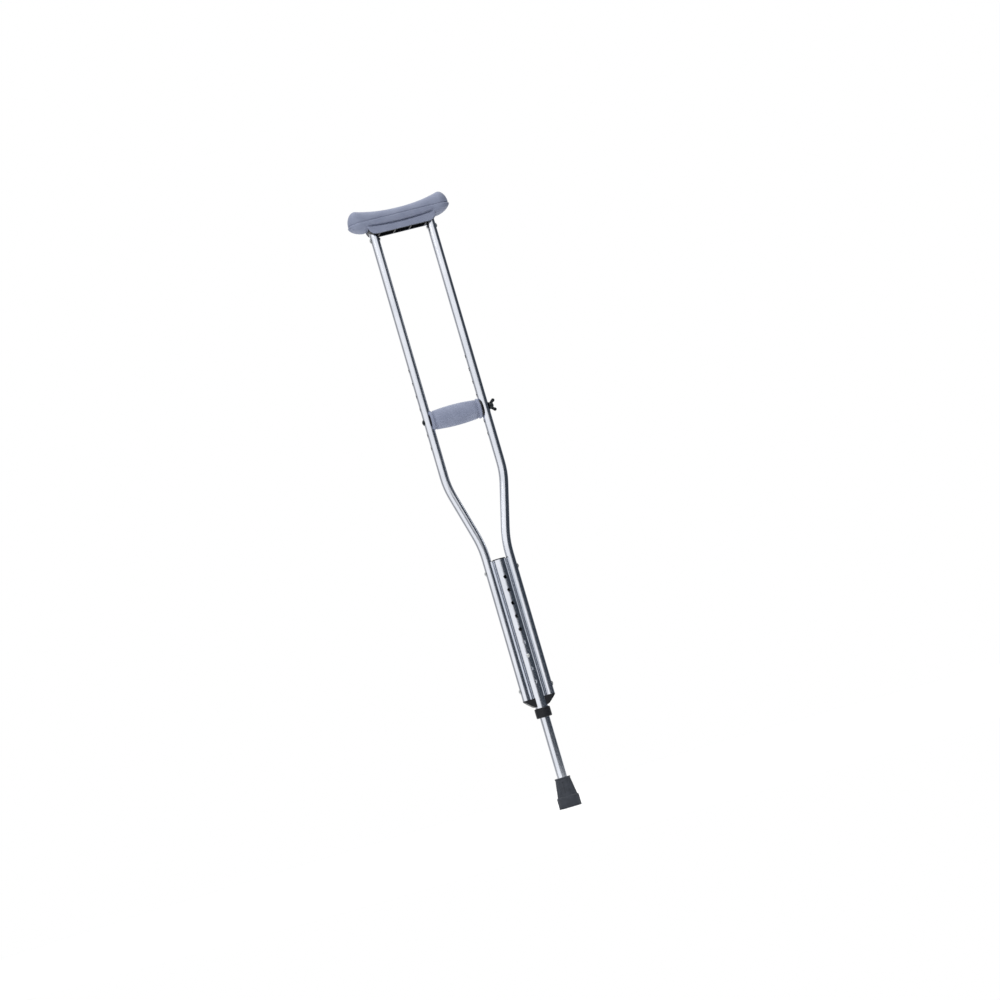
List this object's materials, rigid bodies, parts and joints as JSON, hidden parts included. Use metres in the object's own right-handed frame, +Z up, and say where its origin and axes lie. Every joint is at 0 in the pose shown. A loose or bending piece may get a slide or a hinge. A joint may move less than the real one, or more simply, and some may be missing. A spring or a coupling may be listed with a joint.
{
  "type": "underarm crutch",
  "caption": "Aluminium underarm crutch with a spring-button telescoping leg, a movable bolted handgrip, a soft underarm pad and a rubber tip.",
  "frame": {"origin": "on the floor, at the centre of the rubber tip's sole", "axes": "+Z up along the leg to the underarm pad; the rails stand at -X and +X; the spring button and its row of holes face -Y"},
  "size_m": [0.196, 0.047, 1.1834],
  "materials": {
    "satin_aluminium": "satin",
    "black_plastic": "moulded",
    "soft_grey_blue": "matte",
    "tip_rubber": "matte",
    "zinc_steel": "zinc plated",
    "black_steel": "black oxide",
    "core_plastic": "moulded"
  },
  "bodies": {
    "frame": {"left_rail": "satin_aluminium", "right_rail": "satin_aluminium", "spine_extrusion": "satin_aluminium", "spine_top_cap": "black_plastic", "left_end_cap": "black_plastic", "right_end_cap": "black_plastic", "leg_collar": "black_plastic", "rail_rivets": "zinc_steel", "underarm_cradle": "black_plastic", "cradle_rivets": "zinc_steel", "underarm_pad": "soft_grey_blue"},
    "leg": {"leg_tube": "satin_aluminium", "leg_guide": "black_plastic", "v_spring": "zinc_steel", "rubber_tip": "tip_rubber", "tip_washer": "zinc_steel"},
    "snap_button": {"snap_button": "zinc_steel"},
    "handgrip": {"grip_core": "core_plastic", "grip_sleeve": "soft_grey_blue", "left_grip_saddle": "black_plastic", "right_grip_saddle": "black_plastic", "nut_washer": "black_steel"},
    "grip_bolt": {"grip_bolt": "black_steel"},
    "wing_nut": {"wing_nut": "black_steel"}
  },
  "joints": [
    {"name": "leg_slide", "type": "slide", "parent": "frame", "child": "leg", "axis": [0, 0, 1], "range_m": [-0.0508, 0.1016]},
    {"name": "button_press", "type": "slide", "parent": "leg", "child": "snap_button", "axis": [0, 1, 0], "range_m": [0, 0.0046], "stiffness_N_per_m": 1200, "springref_m": -0.004, "deforming": ["v_spring"]},
    {"name": "handgrip_height", "type": "slide", "parent": "frame", "child": "handgrip", "axis": [0, 0, 1], "range_m": [-0.0508, 0.1016]},
    {"name": "bolt_withdraw", "type": "slide", "parent": "handgrip", "child": "grip_bolt", "axis": [-1, 0, 0], "range_m": [0, 0.14]},
    {"name": "wing_nut_spin", "type": "hinge", "parent": "handgrip", "child": "wing_nut", "pos_m": [0.06935, 0, 0.7629], "axis": [1, 0, 0], "continuous": true}
  ]
}
